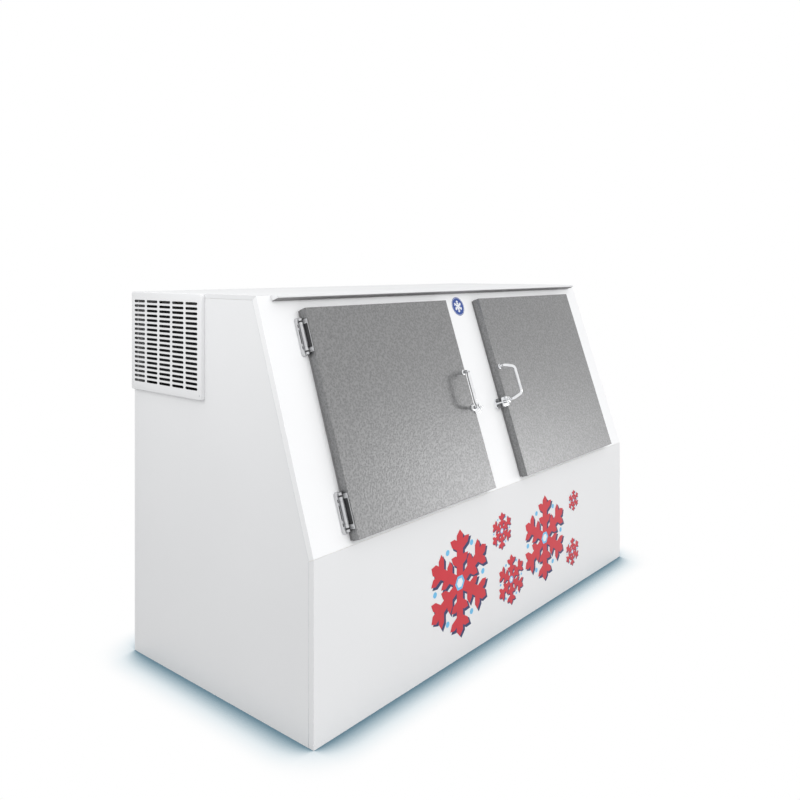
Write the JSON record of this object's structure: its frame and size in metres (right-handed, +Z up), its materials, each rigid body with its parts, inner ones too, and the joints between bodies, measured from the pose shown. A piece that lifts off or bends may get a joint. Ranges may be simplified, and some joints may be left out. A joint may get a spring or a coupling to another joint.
{
  "type": "ice merchandiser freezer",
  "caption": "Outdoor bagged-ice freezer with a slanted front, a pair of hinged insulated doors with handles and padlock hasps, and a vented cooling unit in its upper rear corner.",
  "frame": {"origin": "on the floor under the middle of the cabinet, at the flat underside of the base pan", "axes": "+X to the right seen from the front, the slanted door front faces -Y, +Z up"},
  "size_m": [1.985, 0.9582, 1.27],
  "materials": {
    "white_enamel": "satin white baked enamel on steel sheet",
    "embossed_aluminium": "embossed mill-finish sheet",
    "chrome": "polished chrome plate",
    "galvanised_steel": "galvanised sheet",
    "gasket_rubber": "soft grey vinyl magnetic gasket",
    "white_plastic": "vacuum-formed white plastic",
    "insulation_foam": "foamed-in-place polyurethane",
    "black_paint": "black paint on cast and drawn steel",
    "coil_fins": "thin aluminium fin stock",
    "copper_tube": "drawn copper tube"
  },
  "bodies": {
    "cabinet": {"base_pan": "galvanised_steel", "front_lower_panel": "white_enamel", "front_frame": "white_enamel", "top_panel": "white_enamel", "back_panel": "white_enamel", "side_panel_left": "white_enamel", "side_panel_right": "white_enamel", "drip_cap": "white_enamel", "vent_cover": "white_enamel", "insulation_left": "insulation_foam", "insulation_right": "insulation_foam", "insulation_floor": "insulation_foam", "insulation_back": "insulation_foam", "insulation_ceiling": "insulation_foam", "insulation_front": "insulation_foam", "insulation_header": "insulation_foam", "insulation_stile_left": "insulation_foam", "insulation_mullion": "insulation_foam", "insulation_stile_right": "insulation_foam", "machine_shelf": "insulation_foam", "machine_wall": "insulation_foam", "inner_liner": "galvanised_steel", "throat_left": "white_plastic", "throat_right": "white_plastic", "left_hasp_staple": "chrome", "left_hinge_frame_leaf_lower": "chrome", "left_hinge_frame_leaf_upper": "chrome", "right_hasp_staple": "chrome", "right_hinge_frame_leaf_lower": "chrome", "right_hinge_frame_leaf_upper": "chrome", "unit_base": "galvanised_steel", "condenser_coil": "coil_fins", "fan_shroud": "galvanised_steel", "condenser_fan_motor": "black_paint", "compressor": "black_paint", "suction_line": "copper_tube", "liquid_line": "copper_tube", "evaporator_housing": "galvanised_steel", "evaporator_coil": "coil_fins", "evaporator_fan_motor": "black_paint", "control_box": "galvanised_steel"},
    "left_door": {"left_door_skin": "embossed_aluminium", "left_door_core": "insulation_foam", "left_door_liner": "white_plastic", "left_door_gasket": "gasket_rubber", "left_door_handle": "chrome", "left_hasp_tab": "chrome", "left_hinge_door_leaf_lower": "chrome", "left_hinge_door_leaf_upper": "chrome"},
    "right_door": {"right_door_skin": "embossed_aluminium", "right_door_core": "insulation_foam", "right_door_liner": "white_plastic", "right_door_gasket": "gasket_rubber", "right_door_handle": "chrome", "right_hasp_tab": "chrome", "right_hinge_door_leaf_lower": "chrome", "right_hinge_door_leaf_upper": "chrome"},
    "condenser_fan_wheel": {"condenser_fan": "coil_fins"},
    "evaporator_fan_wheel": {"evaporator_fan": "coil_fins"},
    "thermostat_dial": {"thermostat_knob": "white_plastic"}
  },
  "joints": [
    {"name": "left_door_hinge", "type": "hinge", "parent": "cabinet", "child": "left_door", "pos_m": [-0.844, -0.43872, 0.63213], "axis": [0, -0.322, -0.9467], "range_deg": [0, 110]},
    {"name": "right_door_hinge", "type": "hinge", "parent": "cabinet", "child": "right_door", "pos_m": [0.844, -0.43872, 0.63213], "axis": [0, 0.322, 0.9467], "range_deg": [0, 110]},
    {"name": "condenser_fan_spin", "type": "hinge", "parent": "cabinet", "child": "condenser_fan_wheel", "pos_m": [-0.8667, 0.2525, 1.0823], "axis": [1, 0, 0], "continuous": true},
    {"name": "evaporator_fan_spin", "type": "hinge", "parent": "cabinet", "child": "evaporator_fan_wheel", "pos_m": [-0.003, 0.2205, 1.0997], "axis": [1, 0, 0], "continuous": true},
    {"name": "thermostat_turn", "type": "hinge", "parent": "cabinet", "child": "thermostat_dial", "pos_m": [-0.389, 0.3717, 1.1447], "axis": [0, -1, 0], "range_deg": [-135, 135]}
  ]
}
